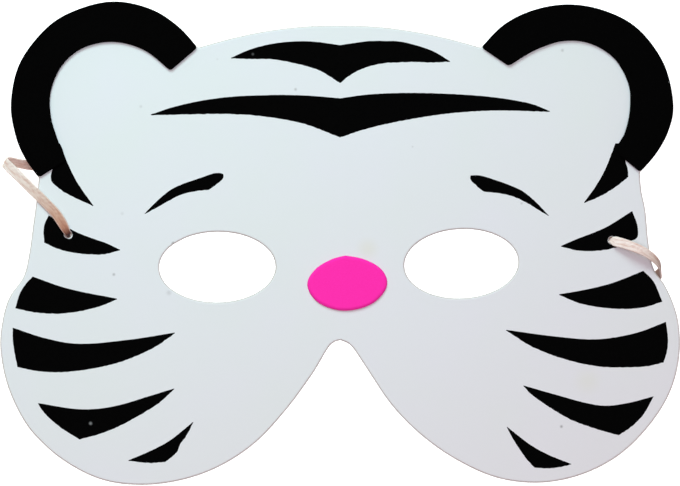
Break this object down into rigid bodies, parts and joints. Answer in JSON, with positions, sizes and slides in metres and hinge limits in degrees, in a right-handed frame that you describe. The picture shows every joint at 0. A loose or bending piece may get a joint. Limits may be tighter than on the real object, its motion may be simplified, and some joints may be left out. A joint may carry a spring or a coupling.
{
  "type": "tiger half mask",
  "caption": "Child's die-cut foam half mask of a white tiger's face, with glued ear bands, a pink nose, printed stripes and a flat elastic.",
  "frame": {"origin": "under the middle of the mask, on the surface that it lies on", "axes": "+Z out of the front of the mask, +Y to the top of the head, +X to the right of someone who looks at the front"},
  "size_m": [0.2013, 0.1429, 0.0153],
  "materials": {
    "white_foam": "matt closed-cell EVA craft foam, white, with stripes screen-printed in black ink",
    "black_foam": "matt closed-cell EVA craft foam, black",
    "pink_foam": "matt closed-cell EVA craft foam, bright pink",
    "elastic": "flat braided elastic, pale pinkish beige"
  },
  "bodies": {
    "root": {"face_sheet": "white_foam", "ear_band_left": "black_foam", "ear_band_right": "black_foam", "nose": "pink_foam", "elastic_cord": "elastic", "cord_knot_left": "elastic", "cord_knot_right": "elastic"}
  },
  "joints": []
}
